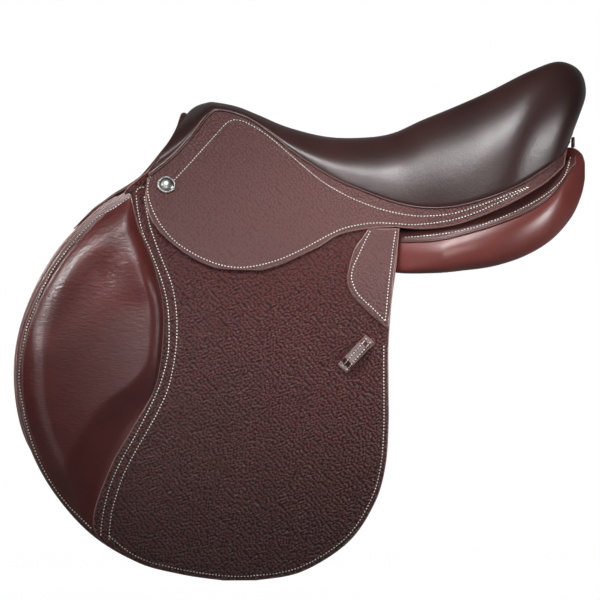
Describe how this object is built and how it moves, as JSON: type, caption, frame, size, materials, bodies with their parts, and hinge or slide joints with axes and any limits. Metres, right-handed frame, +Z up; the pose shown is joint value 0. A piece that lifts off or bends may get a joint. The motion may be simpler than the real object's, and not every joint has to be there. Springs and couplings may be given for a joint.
{
  "type": "jumping saddle",
  "caption": "Close-contact jumping saddle with a deep seat, forward flaps with knee pads, skirts that lift off stirrup bars, girth straps and wool panels.",
  "frame": {"origin": "top of the horse's back on the middle plane, under the deepest point of the seat", "axes": "+X to the cantle, +Z up, -Y is the saddle's left side"},
  "size_m": [0.6096, 0.3646, 0.5522],
  "materials": {
    "seat_leather": "smooth calf, semi-gloss",
    "grain_leather": "pebbled grain, satin",
    "pad_leather": "smooth calf, semi-gloss",
    "panel_leather": "smooth calf, satin",
    "lining_leather": "flesh side, matte",
    "strap_leather": "bridle leather, satin",
    "welt_leather": "dark piping, satin",
    "steel": "polished",
    "dark_steel": "brushed",
    "wood": "laminated beech, varnished",
    "webbing": "woven webbing",
    "foam": "open-cell foam"
  },
  "bodies": {
    "saddle": {"tree": "wood", "head_plate": "dark_steel", "seat_webs": "webbing", "seat_foam": "foam", "seat_cover": "seat_leather", "pommel_roll": "panel_leather", "panel_screws": "dark_steel", "tree_rivets": "dark_steel", "left_skirt": "grain_leather", "left_welt": "welt_leather", "left_stud": "steel", "left_flap_head": "grain_leather", "left_sweat_flap": "lining_leather", "left_knee_block": "pad_leather", "left_panel": "panel_leather", "left_panel_band": "panel_leather", "left_girth_web": "webbing", "left_stirrup_bar": "steel", "left_catch_pin": "steel", "left_rear_tab": "seat_leather", "right_skirt": "grain_leather", "right_welt": "welt_leather", "right_stud": "steel", "right_flap_head": "grain_leather", "right_sweat_flap": "lining_leather", "right_knee_block": "pad_leather", "right_panel": "panel_leather", "right_panel_band": "panel_leather", "right_girth_web": "webbing", "right_stirrup_bar": "steel", "right_catch_pin": "steel", "right_rear_tab": "seat_leather"},
    "left_flap": {"left_flap_lining": "lining_leather", "left_flap": "grain_leather", "left_knee_pad": "pad_leather", "left_patch": "grain_leather", "left_keeper": "grain_leather"},
    "left_skirt_lobe": {"left_skirt_lobe": "grain_leather"},
    "left_front_strap": {"left_front_strap": "strap_leather"},
    "left_rear_strap": {"left_rear_strap": "strap_leather"},
    "left_guard": {"left_guard": "strap_leather"},
    "left_bar_catch": {"left_bar_catch": "steel"},
    "right_flap": {"right_flap_lining": "lining_leather", "right_flap": "grain_leather", "right_knee_pad": "pad_leather", "right_patch": "grain_leather", "right_keeper": "grain_leather"},
    "right_skirt_lobe": {"right_skirt_lobe": "grain_leather"},
    "right_front_strap": {"right_front_strap": "strap_leather"},
    "right_rear_strap": {"right_rear_strap": "strap_leather"},
    "right_guard": {"right_guard": "strap_leather"},
    "right_bar_catch": {"right_bar_catch": "steel"}
  },
  "joints": [
    {"name": "left_flap_lift", "type": "hinge", "parent": "saddle", "child": "left_flap", "pos_m": [-0.21, -0.118, 0.02], "axis": [-0.9924, 0, 0.1229], "range_deg": [0, 75]},
    {"name": "left_skirt_lift", "type": "hinge", "parent": "left_flap", "child": "left_skirt_lobe", "pos_m": [-0.21, -0.118, 0.02], "axis": [-0.9924, 0, 0.1229], "range_deg": [0, 45]},
    {"name": "left_front_strap_swing", "type": "hinge", "parent": "saddle", "child": "left_front_strap", "pos_m": [-0.09658, -0.11049, -0.02428], "axis": [0.0148, -0.9928, 0.1191], "range_deg": [-4, 4]},
    {"name": "left_rear_strap_swing", "type": "hinge", "parent": "saddle", "child": "left_rear_strap", "pos_m": [-0.03704, -0.11049, -0.03165], "axis": [0.0148, -0.9928, 0.1191], "range_deg": [-4, 4]},
    {"name": "left_guard_slide", "type": "slide", "parent": "left_front_strap", "child": "left_guard", "axis": [-0.122, -0.12, -0.9852], "range_m": [0, 0.05]},
    {"name": "left_bar_catch_turn", "type": "hinge", "parent": "saddle", "child": "left_bar_catch", "pos_m": [-0.09515, -0.10519, 0.01171], "axis": [0.055, -0.8944, 0.4438], "range_deg": [0, 50]},
    {"name": "right_flap_lift", "type": "hinge", "parent": "saddle", "child": "right_flap", "pos_m": [-0.21, 0.118, 0.02], "axis": [0.9924, 0, -0.1229], "range_deg": [0, 75]},
    {"name": "right_skirt_lift", "type": "hinge", "parent": "right_flap", "child": "right_skirt_lobe", "pos_m": [-0.21, 0.118, 0.02], "axis": [0.9924, 0, -0.1229], "range_deg": [0, 45]},
    {"name": "right_front_strap_swing", "type": "hinge", "parent": "saddle", "child": "right_front_strap", "pos_m": [-0.09658, 0.11049, -0.02428], "axis": [-0.0148, -0.9928, -0.1191], "range_deg": [-4, 4]},
    {"name": "right_rear_strap_swing", "type": "hinge", "parent": "saddle", "child": "right_rear_strap", "pos_m": [-0.03704, 0.11049, -0.03165], "axis": [-0.0148, -0.9928, -0.1191], "range_deg": [-4, 4]},
    {"name": "right_guard_slide", "type": "slide", "parent": "right_front_strap", "child": "right_guard", "axis": [-0.122, 0.12, -0.9852], "range_m": [0, 0.05]},
    {"name": "right_bar_catch_turn", "type": "hinge", "parent": "saddle", "child": "right_bar_catch", "pos_m": [-0.09515, 0.10519, 0.01171], "axis": [-0.055, -0.8944, -0.4438], "range_deg": [0, 50]}
  ],
  "couplings": [
    {"joint": "left_rear_strap_swing", "follows": "left_front_strap_swing", "ratio": 1},
    {"joint": "right_rear_strap_swing", "follows": "right_front_strap_swing", "ratio": 1}
  ]
}
